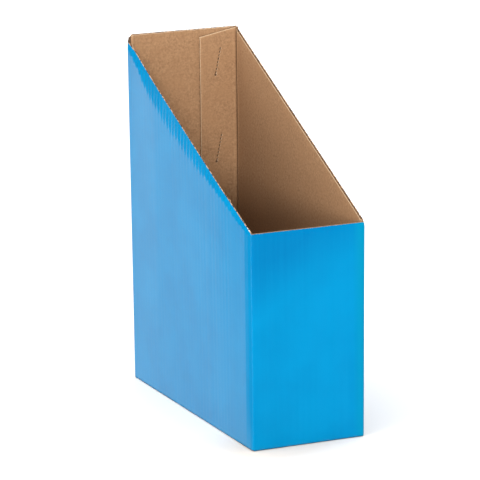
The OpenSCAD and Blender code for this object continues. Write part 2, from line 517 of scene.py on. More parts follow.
@dataclass(frozen=True)
class StudioFloor(Finish):
    """Seamless white paper on the studio floor: matt and even, with a soft grey patch in front of
    the box for the photograph's contact shade.
    """

    name: str = "seamless_paper_white_matt"
    colour: str = "f8f8f8"
    cooler: str = "f6f7f8"
    shade: str = "e8dfd6"
    grain: float = 0.9
    shade_centre: Triple = (-0.028, -0.125, 0.0)
    shade_radius: Triple = (0.09, 0.07, 1.0)
    shade_fade: Span = (1.0, 0.35)

    def paint(self, tree: Tree) -> dict:
        """Draws the paper and its patch of shade.

        Args:
            tree: The material's node tree.

        Returns:
            The shader's inputs.
        """
        even = spread(tree, pattern(tree, self.grain, 1), (0.0, 1.0))
        scale = tuple(1 / r for r in self.shade_radius)
        moved = tuple(-c / r for c, r in zip(self.shade_centre, self.shade_radius))
        inputs = {"Vector": local(tree), "Scale": scale, "Location": moved}
        placed = add_node(tree, "Mapping", inputs).outputs["Vector"]
        away = add_node(tree, "VectorMath", {0: placed}, operation="LENGTH").outputs["Value"]
        colour = blend(tree, even, self.colour, self.cooler)
        colour = blend(tree, spread(tree, away, self.shade_fade), colour, self.shade)
        return {"Base Color": colour, "Roughness": 1.0, "Specular IOR Level": 0.0}


@dataclass(frozen=True)
class Finishes:
    """Every material of the box, built once and shared."""

    printed: Material
    kraft: Material
    cut_edge: Material
    print_edge: Material
    slit: Material
    crushed_medium_edge_shade: Material
    medium: Material

    @classmethod
    def build(cls) -> "Finishes":
        """Builds the print and the kraft in all its tones: bare, cut, slit, crushed and waved.
        The cut tone is also painted highlight; the slit and crushed tones are painted shade.

        Returns:
            The materials.
        """
        # The lighter tone of cut kraft, also set as painted highlight on lips and edges.
        cut = ("kraft_paper_cut_edge_tone_and_painted_highlight", "9a7c5c", "b99b7c", "d3ba9c", "866648")
        # Painted shade: dark kraft in the skip cuts and at the bottom of the inside-corner slits.
        slit = ("kraft_paper_slit_painted_shade", "412e1f", "523b28", "6b4f36", "302116")
        # Painted shade: dark kraft on the medium's crushed cut edges.
        crushed = ("kraft_fluting_crushed_cut_edge_painted_shade", "3f2c1c", "5c422b", "8a6745", "33231a")
        waved = ("kraft_paper_fluting_medium", "705035", "8c6a49", "a6805b", "60442c")
        short_fibre = (0.9 * MM, 0.9 * MM, 0.5 * MM)
        finishes = (
            PrintedLiner(),
            KraftPaper(),
            KraftPaper(*cut, mottle=6 * MM, cloud=1.4 * MM, fibre=short_fibre),
            PrintEdge(),
            KraftPaper(*slit),
            KraftPaper(*crushed, cloud=2.4 * MM),
            KraftPaper(*waved),
        )
        return cls(*(finish.make() for finish in finishes))


# Sheets


def dress(
    name: str,
    bm: bmesh.types.BMesh,
    materials: list[Material],
    thickness: float,
    offset: float = -1,
    back: int = 0,
    rim: int = 1,
) -> None:
    """Args:
        name: Name of the piece.
        bm: The sheet, in its final place. It is freed.
        materials: Materials by slot.
        thickness: Thickness of the paper.
        offset: -1 grows it away from the faces' normals, 0 to both sides.
        back: How many slots further on the far side's material is.
        rim: How many slots further on the cut edges' material is.
    """
    mesh = bpy.data.meshes.new(name)
    for face in bm.faces:
        face.smooth = True
    bm.to_mesh(mesh)
    bm.free()
    for material in materials:
        mesh.materials.append(material)
    piece = bpy.data.objects.new(name, mesh)
    bpy.context.scene.collection.objects.link(piece)
    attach(piece, BODY)
    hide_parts(NODE)
    solid = piece.modifiers.new("paper thickness", "SOLIDIFY")
    solid.thickness = thickness
    solid.offset = offset
    solid.material_offset = back
    solid.material_offset_rim = rim
    LOG.info("%s: %d faces before its thickness", name, len(mesh.polygons))


class Strip:
    """A sheet that grows by spinning its front edge on, stretch by stretch."""

    def __init__(self, start: Vector) -> None:
        """Starts the sheet.

        Args:
            start: Its first vertex.
        """
        self.bm = bmesh.new()
        self.out = self.bm.verts.layers.float_vector.new("outward")
        self.wave = self.bm.verts.layers.float.new("wave")
        self.flat = self.bm.verts.layers.float.new("flat")
        self.panel = self.bm.verts.layers.int.new("panel")
        self.front = [self.bm.verts.new(start)]

    def spin(
        self,
        steps: int,
        travel: Vector | Triple = (0, 0, 0),
        centre: Vector | Triple = (0, 0, 0),
        axis: Triple = (0, 0, 1),
        angle: float = 0.0,
    ) -> list[Vert]:
        """Draws the front on, straight or round an axis.

        Args:
            steps: Steps of the move.
            travel: Straight travel of each step.
            centre: Point on the axis of the turn.
            axis: Axis of the turn.
            angle: Angle of the whole turn.

        Returns:
            The new vertices.
        """
        before = len(self.bm.verts)
        done = bmesh.ops.spin(
            self.bm,
            geom=self.front,
            cent=centre,
            axis=axis,
            dvec=travel,
            angle=angle,
            steps=steps,
            use_duplicate=False,
            use_merge=False,
            use_normal_flip=False,
        )
        self.front = done["geom_last"]
        self.bm.verts.ensure_lookup_table()
        return self.bm.verts[before:]

    def go(self, travel: Vector, steps: int) -> list[Vert]:
        """Draws the front straight on in one move, then divides the stretch.

        Args:
            travel: The whole travel.
            steps: Columns that the stretch gets.

        Returns:
            The new vertices.
        """
        before = len(self.bm.verts)
        old = set(self.front)
        self.spin(1, travel)
        after = len(self.bm.verts)
        across = [e for v in self.front if isinstance(v, Vert) for e in v.link_edges]
        across = [e for e in across if e.verts[0] in old or e.verts[1] in old]
        if steps > 1:
            bmesh.ops.subdivide_edges(self.bm, edges=across, cuts=steps - 1, use_grid_fill=True)
            self.bm.verts.ensure_lookup_table()
            ends = self.bm.verts[before:after]
            found = set(ends)
            edges = (e for v in ends for e in v.link_edges if e.other_vert(v) in found)
            self.front = ends + list(dict.fromkeys(edges))
        return self.bm.verts[before:]

    def shift_all(self, travel: Vector) -> None:
        """Moves all that is drawn so far."""
        bmesh.ops.translate(self.bm, vec=travel, verts=self.bm.verts[:])

    def take_profile(self) -> None:
        """Makes the whole chain drawn so far the front, so that the next move sweeps it."""
        self.front = self.bm.verts[:] + self.bm.edges[:]

    def face_along(self, sign: float) -> None:
        """Turns all faces to look along the outward vectors, or against them.

        Args:
            sign: 1 to look outwards, -1 to look into the box.
        """
        self.bm.normal_update()
        face = max(self.bm.faces, key=lambda f: f.calc_area())
        if face.normal.dot(face.verts[0][self.out]) * sign < 0:
            bmesh.ops.reverse_faces(self.bm, faces=self.bm.faces[:])


@dataclass(frozen=True)
class Sunk:
    """How far the outer liner is pressed inwards, and the inner liner outwards, at a place."""

    outer: float
    inner: float


@dataclass(frozen=True)
class RimCrush:
    """How the cutting die pinches the board along its rim, and the dip beside the near fold."""

    outer: float = 1.35 * MM
    inner: float = 0.85 * MM
    level_share: float = 0.4
    flap_share: float = 0.2
    right_share: float = 0.4
    back_fold: Span = (112 * MM, 127 * MM)
    back_fold_loss: float = 0.7
    short_run: float = 5.5 * MM
    long_run: float = 21 * MM
    growth: Span = (-128 * MM, 50 * MM)
    fade: Span = (72 * MM, 124 * MM)
    fade_loss: float = 0.75
    tooth: float = 0.23
    ragged: float = 0.4
    draw: Triple = (0.77, 3.1, 0.4)
    steady: float = 1e-4
    softness: float = 0.05
    dip: float = 0.8 * MM
    dip_end: float = 14 * MM
    front_dip_end: float = 8 * MM
    front_dip_loss: float = 0.5
    flap_round: float = 0.9 * MM

    def run(self, point: Vector, aside: float) -> float:
        """How far below the rim the pinch reaches: furthest towards the back of the left panel.

        Args:
            point: Place on the sheet.
            aside: 1 on a side panel, 0 on the others, and between on a fold.

        Returns:
            The run of the pinch.
        """
        if point.x > 0:
            return self.short_run
        deep = ramp(point.y, *self.growth) * (1 - self.fade_loss * ramp(point.y, *self.fade))
        return self.short_run + (self.long_run - self.short_run) * deep * aside

    def depth_share(self, panel: Panel, point: Vector, aside: float) -> float:
        """Share of the left rim's crush that another rim gets.

        Args:
            panel: Stretch of the sheet.
            point: Place on the sheet.
            aside: 1 on a side panel, 0 on the others, and between on a fold.

        Returns:
            A share from 0 to 1.
        """
        level = self.flap_share if panel is Panel.FLAP else self.level_share
        if point.x > 0:
            return level + (self.right_share - level) * aside
        whole = 1 - self.back_fold_loss * ramp(point.y, *self.back_fold)
        return (level + (1 - level) * aside) * whole

    def share(self, below: float, run: float, wave: float) -> float:
        """Share of the full pinch at a place.

        Args:
            below: Distance below the rim.
            run: Run of the pinch there.
            wave: Place across the flutes, in waves.

        Returns:
            A share from 0 to 1.
        """
        step, *rest = self.draw
        # A column halfway between two flutes always takes the draw of the later one.
        flute = math.floor(wave + 0.5 + self.steady)
        chance = noise.noise(Vector((flute * step, *rest)))
        tooth = self.tooth * (0.5 + 0.5 * math.cos(2 * math.pi * wave)) + self.ragged * chance / 2
        left = max(0.0, 1 - below / (run * (1 - tooth)))
        top = math.sqrt(1 + self.softness**2) - self.softness
        return (math.sqrt(left * left + self.softness**2) - self.softness) / top


@dataclass(frozen=True)
class Bow:
    """How the panels have bowed outwards, with the slight unevenness of real board."""

    left: float = 1.3 * MM
    right: float = 0.15 * MM
    middle: float = -20 * MM
    length: float = 2.4
    climb: float = 1.5
    uneven: float = 0.1 * MM
    grain: Triple = (75 * MM, 75 * MM, 125 * MM)
    side_fade: Span = (2 * MM, 70 * MM)
    level_fade: Span = (2 * MM, 30 * MM)

    def travel(self, form: BoxForm, panel: Panel, point: Vector, rim: float) -> float:
        """How far outwards a panel stands at a point.

        Args:
            form: Outline of the box.
            panel: Stretch of the sheet.
            point: The point.
            rim: Height of the rim there.

        Returns:
            Travel outwards.
        """
        if panel in (Panel.LEFT, Panel.RIGHT):
            bow = self.left if panel is Panel.LEFT else self.right
            edge = ramp(form.half_d - abs(point.y), *self.side_fade)
        else:
            bow, edge = 0.0, ramp(form.half_w - abs(point.x), *self.level_fade)
        reach = self.length * 2 * form.half_d
        along = max(0.0, math.cos(math.pi * (point.y - self.middle) / reach))
        place = Vector([c / g for c, g in zip(point, self.grain)])
        rise = (point.z / rim) ** self.climb
        return (bow * along * rise + noise.noise(place) * self.uneven) * edge


@dataclass
class WallSheet:
    """One sheet of the wall, swept round the box from the back panel's cut edge to the glue flap's.

    A vertex stands at its row's number until the last step sets its height. The topmost row of the
    edge panels has a material of its own: on the outer liner the dark edge tone, painted shade
    along the rim, and on the inner liner the light cut-edge tone, partly painted highlight.
    """

    form: BoxForm
    crush: RimCrush
    inset: float
    per_wave: int
    bow: Bow = field(default_factory=Bow)
    depths: tuple[float, ...] = (0, 0.4, 1.2, 2.2, 3.3, 4.6, 6.0, 7.6, 9.4, 11.5, 14, 18)
    lower_rows: int = 10
    fold_steps: int = 10
    lead_columns: int = 4
    hem: float = 0.3 * MM
    held: float = 14 * MM
    seed: float = 0.0
    fray: float = 0.2 * MM
    fray_grain: float = 1.3 * MM
    fray_loss: float = 0.4
    back_rise: float = 0.1 * MM
    edge_panels: tuple[Panel, ...] = ()
    edge_slot: int = 0
    strip: Strip = field(init=False)

    def row_height(self, row: int, foot: float, rim: float) -> float:
        """Height of a row: even rows low down, and rows that follow the rim near it.

        Args:
            row: Number of the row, from the foot.
            foot: Height of the sheet's foot.
            rim: Height of the rim there.

        Returns:
            Height over the base.
        """
        if row == 0:
            return foot
        if row <= self.lower_rows:
            start = foot + self.hem
            whole = rim - self.depths[-1] * MM - start
            return start + whole * (row - 1) / (self.lower_rows - 1)
        return rim - self.depths[self.rows - row] * MM

    @property
    def rows(self) -> int:
        """Number of the topmost row."""
        return self.lower_rows + len(self.depths) - 1

    def straight(self, panel: Panel, heading: Vector, length: float, columns: int = 0) -> None:
        """Draws a straight stretch and marks it.

        Args:
            panel: Stretch of the sheet.
            heading: Direction of travel, seen from above.
            length: Length of the stretch.
            columns: Columns of crushed board, or 0 for fluted board.
        """
        strip = self.strip
        waves = 0 if columns else round(length / self.form.board.pitch)
        start = next(v for v in strip.front if isinstance(v, Vert)).co.copy()
        for vert in strip.go(heading * length, columns or waves * self.per_wave):
            vert[strip.out] = Vector((heading.y, -heading.x, 0))
            vert[strip.panel] = panel.value
            vert[strip.wave] = waves * (vert.co - start).dot(heading) / length
            vert[strip.flat] = 1.0 if waves else 0.0

    def corner(self, panel: Panel, centre: Vector) -> None:
        """Draws the roll of an upright fold.

        Args:
            panel: Stretch of the sheet that the fold leads to.
            centre: Centre of the roll, seen from above.
        """
        if self.inset >= self.form.fold_radius:
            return
        strip = self.strip
        for vert in strip.spin(self.fold_steps, centre=centre, angle=math.pi / 2):
            radial = vert.co - centre
            vert[strip.out] = Vector((radial.x, radial.y, 0)).normalized()
            vert[strip.panel] = panel.value
            vert[strip.wave] = 0.0
            vert[strip.flat] = 0.0

    def sweep(self) -> None:
        """Draws the whole sheet round the box, in rows."""
        form, board = self.form, self.form.board
        lead = form.fold_zone - max(form.fold_radius, self.inset)
        roll_x, roll_y = form.half_w - form.fold_radius, form.half_d - form.fold_radius
        side = 2 * form.half_d - 2 * form.fold_zone
        front = 2 * form.half_w - 2 * form.fold_zone
        back = 2 * form.half_w - form.fold_zone - form.joint_setback - board.edge_margin
        flap = form.flap_width - form.crush_run - board.edge_margin
        west, south = Vector((-1, 0, 0)), Vector((0, -1, 0))
        east, north = Vector((1, 0, 0)), Vector((0, 1, 0))

        start = Vector((form.half_w - form.joint_setback, form.half_d - self.inset, 0))
        self.strip = Strip(start)
        self.strip.go(Vector((0, 0, self.rows)), self.rows)
        self.strip.take_profile()
        for vert in self.strip.bm.verts:
            vert[self.strip.out] = north
            vert[self.strip.panel] = Panel.BACK.value
        self.straight(Panel.BACK, west, board.edge_margin, 2)
        self.straight(Panel.BACK, west, back)
        before, came = Panel.BACK, west
        for panel, heading, run, roll in (
            (Panel.LEFT, south, side, (-roll_x, roll_y, 0)),
            (Panel.FRONT, east, front, (-roll_x, -roll_y, 0)),
            (Panel.RIGHT, north, side - board.thickness, (roll_x, -roll_y, 0)),
            (Panel.FLAP, west, flap, (roll_x, roll_y - board.thickness, 0)),
        ):
            self.straight(before, came, lead, self.lead_columns)
            self.corner(panel, Vector(roll))
            self.straight(panel, heading, lead, self.lead_columns)
            self.straight(panel, heading, run)
            before, came = panel, heading
        self.straight(Panel.FLAP, west, board.edge_margin, 3)

    def place(self) -> None:
        """Sets each vertex's height from its row, then moves it across the board by the sheet's
        own rule.
        """
        strip, form = self.strip, self.form
        for vert in strip.bm.verts:
            panel = Panel(vert[strip.panel])
            foot = form.foot_radius
            reach = max(form.half_w - abs(vert.co.x), form.half_d - abs(vert.co.y))
            if reach < form.fold_radius + form.corner_play:
                foot = form.corner_foot + form.corner_lift * max(0.0, 1 - reach / form.fold_radius)
            if panel is Panel.FLAP and vert.co.x < form.inner_w:
                share = (form.inner_w - vert.co.x) / form.flap_width
                foot = 2 * form.board.thickness + form.flap_foot_gap + form.flap_top_taper * share
            rim = form.rim(panel, vert.co) + self.raise_rim(panel, vert.co)
            height = self.row_height(round(vert.co.z), foot, rim)
            vert.co.z = height
            out = Vector(vert[strip.out])
            free = ramp(height - foot, 0, self.held)
            sunk = self.sunk(panel, vert, rim - height, free)
            bowed = self.bow.travel(form, panel, vert.co, rim) * free
            vert.co += out * (self.shift(vert, panel, sunk) + bowed)
            vert.co = form.flared(vert.co)

    def draw(self, facing: int) -> None:
        """Draws the sheet in its place.

        Args:
            facing: 1 where its face looks outwards, -1 where it looks into the box.
        """
        self.sweep()
        for face in self.strip.bm.faces:
            panel = Panel(max(vert[self.strip.panel] for vert in face.verts))
            if panel in self.edge_panels and face.calc_center_median().z > self.rows - 1:
                face.material_index = self.edge_slot
        self.place()
        self.strip.face_along(facing)

    def raise_rim(self, panel: Panel, point: Vector) -> float:
        """Fray of the cut rim of this sheet.

        Args:
            panel: Stretch of the sheet.
            point: Place on the sheet.

        Returns:
            How far the rim stands above the clean cut.
        """
        place = Vector((point.x, point.y, self.seed)) / self.fray_grain
        lift = self.back_rise if panel is Panel.BACK else 0.0
        return lift + self.fray * (noise.noise(place) - self.fray_loss)

    def sunk(self, panel: Panel, vert: Vert, below: float, free: float) -> Sunk:
        """How far the two liners are pressed into the board, at the rim and beside the near fold.

        Args:
            panel: Stretch of the sheet.
            vert: The vertex.
            below: Distance below the rim.
            free: 0 at the foot, where the bottom holds the wall, 1 above.

        Returns:
            Travel of the outer liner inwards and of the inner liner outwards.
        """
        crush, point = self.crush, vert.co
        aside = vert[self.strip.out].x ** 2
        pinch = crush.share(below, crush.run(point, aside), vert[self.strip.wave])
        pressed = pinch * crush.depth_share(panel, point, aside)
        dip = 0.0
        if point.x < 0 and point.y < 0:
            radius = self.form.fold_radius
            reach = self.form.half_d + point.y - radius
            if panel is Panel.FRONT:
                reach = self.form.half_w + point.x - radius
            end = crush.dip_end * aside + crush.front_dip_end * (1 - aside) - radius
            left = 1 - min(1.0, max(0.0, reach) / end)
            dip = crush.dip * (1 - crush.front_dip_loss * (1 - aside)) * free * left * left
        inner = crush.inner * pressed
        if panel is Panel.FLAP:
            inner = max(inner, crush.inner * (1 - aside) * max(0.0, 1 - below / crush.flap_round))
        return Sunk(max(crush.outer * pressed, dip), inner)

    def shift(self, vert: Vert, panel: Panel, sunk: Sunk) -> float:
        """How far outwards a vertex stands from its plane. Each sheet gives its own."""
        raise NotImplementedError


@dataclass
class OuterLiner(WallSheet):
    """The printed outer liner of the walls and the glue flap."""

    depths: tuple[float, ...] = (0, 0.5, 1.1, 1.9, *range(3, 23), 24, 27)
    lower_rows: int = 9
    edge_panels: tuple[Panel, ...] = (Panel.BACK, Panel.LEFT, Panel.RIGHT)
    # The top row of the print takes the dark edge tone: painted shade along the rim.
    edge_slot: int = 2
    ripple: float = 0.048 * MM
    evenness: float = 0.6
    draw_step: float = 0.83
    draw_place: float = 0.2
    proud: float = 0.3 * MM

    def raise_rim(self, panel: Panel, point: Vector) -> float:
        """Fray of the rim, which stands a little proud on the back and the right."""
        proud = self.proud if panel in (Panel.BACK, Panel.RIGHT) else 0.0
        return super().raise_rim(panel, point) + proud

    def shift(self, vert: Vert, panel: Panel, sunk: Sunk) -> float:
        """Washboard between the flutes, and what the board has sunk.

        Args:
            vert: The vertex.
            panel: Stretch of the sheet.
            sunk: How far the liners are pressed in there.

        Returns:
            Travel outwards.
        """
        wave = vert[self.strip.wave]
        place = Vector((math.floor(wave) * self.draw_step, self.draw_place, panel.value))
        chance = self.evenness + noise.noise(place)
        sag = self.ripple * chance * (0.5 - 0.5 * math.cos(2 * math.pi * wave))
        return -sag * vert[self.strip.flat] - sunk.outer

    def build(self, finishes: Finishes) -> None:
        """Builds the piece.

        Args:
            finishes: The materials.
        """
        self.draw(1)
        slots = [finishes.printed, finishes.kraft, finishes.print_edge]
        liner = self.form.board.outer_liner
        dress("printed_outer_liner", self.strip.bm, slots, liner, back=1, rim=2)


@dataclass
class FlutingMedium(WallSheet):
    """The waved sheet between the liners."""

    depths: tuple[float, ...] = (0.7, 1.6, 3, 5, 7.5, 10.5, 14, 18)
    lower_rows: int = 2
    slack: float = 0.12 * MM

    def shift(self, vert: Vert, panel: Panel, sunk: Sunk) -> float:
        """The wave, squeezed with the liners.

        Args:
            vert: The vertex.
            panel: Stretch of the sheet.
            sunk: How far the liners are pressed in there.

        Returns:
            Travel outwards.
        """
        room = max(0.0, self.form.board.swing - self.slack - sunk.outer - sunk.inner)
        wave = math.cos(2 * math.pi * vert[self.strip.wave])
        return (sunk.inner - sunk.outer) / 2 + vert[self.strip.flat] * room / 2 * wave

    def build(self, finishes: Finishes) -> None:
        """Builds the piece.

        Args:
            finishes: The materials.
        """
        self.draw(1)
        # The medium's cut edges take the crushed tone: painted shade.
        slots = [finishes.medium, finishes.crushed_medium_edge_shade]
        dress("fluting_medium", self.strip.bm, slots, self.form.board.medium, offset=0)


@dataclass
class InnerLiner(WallSheet):
    """The kraft inner liner, with a slit and two beads in each inside corner."""

    edge_panels: tuple[Panel, ...] = (Panel.BACK, Panel.RIGHT, Panel.FLAP)
    # The top row takes the light cut-edge tone: partly the cut kraft's colour, partly painted
    # highlight.
    edge_slot: int = 1
    ripple: float = 0.04 * MM
    seed: float = 5 * MM
    left_drop: float = 0.55 * MM
    burr: float = 1.5 * MM
    burr_y: float = -86 * MM
    burr_width: float = 1.5 * MM
    # A band of the light cut-edge tone along the glue flap's free edge, partly painted highlight.
    painted_highlight_band: float = 0.9 * MM
    painted_highlight_index: int = 2
    edge_roll: float = 0.85 * MM
    edge_roll_run: float = 1.5 * MM
    edge_wander: float = 0.7
    edge_grain: float = 9 * MM

    def raise_rim(self, panel: Panel, point: Vector) -> float:
        """Fray of the rim, which lies lower on the left, with one burr that stands up there.

        Args:
            panel: Stretch of the sheet.
            point: Place on the sheet.

        Returns:
            How far the rim stands above the clean cut.
        """
        lift = super().raise_rim(panel, point)
        if panel is Panel.LEFT:
            away = (point.y - self.burr_y) / self.burr_width
            lift += self.burr * max(0.0, 1 - away * away) - self.left_drop
        return lift

    def corner_reach(self, point: Vector, panel: Panel) -> float:
        """Distance along the wall from the nearest inside corner.

        Args:
            point: The vertex.
            panel: Stretch of the sheet.

        Returns:
            The distance.
        """
        form = self.form
        if panel is Panel.FLAP:
            return abs(form.inner_w - point.x)
        if panel is Panel.BACK:
            return abs(point.x + form.inner_w)
        if panel is Panel.FRONT:
            return form.inner_w - abs(point.x)
        back = form.inner_d - (form.board.thickness if panel is Panel.RIGHT else 0.0)
        return min(point.y + form.inner_d, back - point.y)

    def shift(self, vert: Vert, panel: Panel, sunk: Sunk) -> float:
        """Washboard, pinch at the rim, beads and the rounded edge of the glue flap.

        Args:
            vert: The vertex.
            panel: Stretch of the sheet.
            sunk: How far the liners are pressed in there.

        Returns:
            Travel outwards.
        """
        form = self.form
        wave = 0.5 + 0.5 * math.cos(2 * math.pi * vert[self.strip.wave])
        travel = self.ripple * wave * vert[self.strip.flat] + sunk.inner
        reach = self.corner_reach(vert.co, panel)
        if reach < form.bead_run:
            travel -= form.bead_height * math.sin(math.pi * max(0.0, reach) / form.bead_run)
        if panel is Panel.FLAP:
            free = vert.co.x - (form.inner_w - form.flap_width)
            place = Vector((2.0, 0.5, vert.co.z / self.edge_grain))
            wavy = 1 + self.edge_wander * noise.noise(place)
            travel += self.edge_roll * wavy * (1 - ramp(free, 0, self.edge_roll_run))
        return travel

    def build(self, finishes: Finishes) -> None:
        """Builds the piece, with a light band along the glue flap's free edge, partly painted
        highlight.

        Args:
            finishes: The materials.
        """
        self.draw(-1)
        self.slit_corners()
        SkipCuts().carve(self.strip.bm, self.form)
        # Painted highlight, partly the cut kraft's own tone, in a band along the flap's free edge;
        # the band's cut edge takes the dark slit tone as painted shade.
        free_edge = self.form.inner_w - self.form.flap_width + self.painted_highlight_band
        for face in self.strip.bm.faces:
            on_flap = face.verts[0][self.strip.panel] == Panel.FLAP.value
            if on_flap and face.calc_center_median().x < free_edge:
                face.material_index = self.painted_highlight_index
        slots = [finishes.kraft, finishes.cut_edge, finishes.cut_edge, finishes.slit]
        dress("kraft_inner_liner", self.strip.bm, slots, self.form.board.inner_liner)

    def slit_corners(self) -> None:
        """Draws the columns at each inside corner out into a slit with rounded lips, its bottom
        painted dark as shade.
        """
        form = self.form
        glued = form.inner_d - form.board.thickness
        lips = ((form.crease_width, form.crease_depth), (form.lip_width, form.lip_depth))
        moves = []
        for x, y in ((-1, form.inner_d), (-1, -form.inner_d), (1, -form.inner_d), (1, glued)):
            away = Vector((x, math.copysign(1, y), 0)).normalized()
            for vert in self.strip.bm.verts:
                if vert.co.x * x < 0 or vert.co.y * y < 0:
                    continue
                far = (vert.co - form.flared(Vector((x * form.inner_w, y, vert.co.z)))).length
                depth = next((depth for reach, depth in lips if far < reach), 0.0)
                if depth:
                    moves.append((vert, away * depth))
        for vert, travel in moves:
            vert.co += travel
            # Painted shade on the faces at the bottom of the slit.
            if travel.length > form.crease_depth - form.corner_play:
                for face in vert.link_faces:
                    face.material_index = SkipCuts.painted_shade_slot


@dataclass(frozen=True)
class SkipCuts:
    """Lines of short cuts that let the glue bite through the glue flap, each with an end hole."""

    lines: int = 4
    cuts: int = 8
    top: float = 17 * MM
    bottom: float = 34 * MM
    pitch: float = 3.1 * MM
    length: float = 1.8 * MM
    width: float = 0.9 * MM
    inset: float = 14.3 * MM
    lean: float = math.radians(12)
    hole: float = 1.9 * MM
    hole_sides: int = 8
    depth: float = 0.32 * MM
    lip: float = 0.35 * MM
    lip_width: float = 0.6 * MM
    lip_from: float = 0.4
    window: float = 3.0 * MM
    weld: float = 1e-7
    # Material slots: the light cut-edge tone as painted highlight on the lips, and dark kraft as
    # painted shade inside the cuts.
    painted_highlight_index: int = 1
    painted_shade_slot: int = 3

    def carve(self, bm: bmesh.types.BMesh, form: BoxForm) -> None:
        """Cuts every line into the flap's face.

        Args:
            bm: The inner liner, with the flap's face towards -Y.
            form: Outline of the box.
        """
        face_y = form.half_d - 2 * form.board.thickness
        run = self.cuts * self.pitch
        step = (form.back_height - self.top - run - self.bottom) / (self.lines - 1)
        for line in range(self.lines):
            top = form.back_height - self.top - line * step
            self.carve_line(bm, Vector((form.inner_w - self.inset, face_y, top)))

    def faces_near(self, bm: bmesh.types.BMesh, start: Vector, end: Vector) -> list:
        """Finds the flap's faces round a line.

        Args:
            bm: The inner liner.
            start: Top end of the line.
            end: Centre of its end hole.

        Returns:
            The faces, their edges and their vertices.
        """
        left, right = end.x - self.window, start.x + self.window
        low, high = end.z - self.window, start.z + self.window
        faces = []
        for face in bm.faces:
            xs, zs = [v.co.x for v in face.verts], [v.co.z for v in face.verts]
            on_flap = abs(face.verts[0].co.y - start.y) < self.window / 2
            if on_flap and max(xs) > left and min(xs) < right and max(zs) > low and min(zs) < high:
                faces.append(face)
        edges = dict.fromkeys(e for f in faces for e in f.edges)
        verts = dict.fromkeys(v for f in faces for v in f.verts)
        return faces + list(edges) + list(verts)

    def carve_line(self, bm: bmesh.types.BMesh, start: Vector) -> None:
        """Cuts one line of slots and its end hole, pushes them in and raises a lip beside them.

        Args:
            bm: The inner liner.
            start: Top end of the line.
        """
        down = Vector((-math.sin(self.lean), 0, -math.cos(self.lean)))
        aside = Vector((math.cos(self.lean), 0, -math.sin(self.lean)))
        half, hole = self.width / 2, self.hole / 2
        end = start + down * self.cuts * self.pitch
        last = (self.cuts - 1) * self.pitch + self.length

        planes = [(start + aside * x, aside) for x in (-half, half, half + self.lip_width)]
        for cut in range(self.cuts):
            top = start + down * cut * self.pitch
            planes += [(top, down), (top + down * self.length, down)]
        for side in range(self.hole_sides):
            turned = Matrix.Rotation(side * 2 * math.pi / self.hole_sides, 3, "Y") @ aside
            planes.append((end + turned * hole, turned))
        geom = self.faces_near(bm, start, end)
        for place, normal in planes:
            cut = bmesh.ops.bisect_plane(
                bm, geom=geom, dist=self.weld, plane_co=place, plane_no=normal
            )
            geom = cut["geom"]

        slots = []
        for face in (g for g in geom if isinstance(g, bmesh.types.BMFace)):
            centre = face.calc_center_median()
            across, along = (centre - start).dot(aside), (centre - start).dot(down)
            from_hole = Vector((centre.x - end.x, 0, centre.z - end.z)).length
            level = 0 < along < last and along % self.pitch < self.length
            if from_hole < hole or level and abs(across) < half:
                slots.append(face)
            # Painted highlight on the lip beside each cut and round the end hole.
            elif level and half < across < half + self.lip_width:
                face.material_index = self.painted_highlight_index
            elif across > 0 and from_hole < hole + self.lip_width:
                face.material_index = self.painted_highlight_index
        edge = {v for f in slots for v in f.verts}
        edge = [v for v in edge if (v.co - start).dot(aside) > self.width * self.lip_from]
        bmesh.ops.translate(bm, vec=Vector((0, -self.lip, 0)), verts=edge)
        pushed = bmesh.ops.extrude_face_region(bm, geom=slots)
        moved = [g for g in pushed["geom"] if isinstance(g, Vert)]
        bmesh.ops.delete(bm, geom=slots, context="FACES")
        # Painted shade on the pushed-in walls and floors of the cuts.
        for face in {f for v in moved for f in v.link_faces}:
            face.material_index = self.painted_shade_slot
        bmesh.ops.translate(bm, vec=Vector((0, self.depth, 0)), verts=moved)


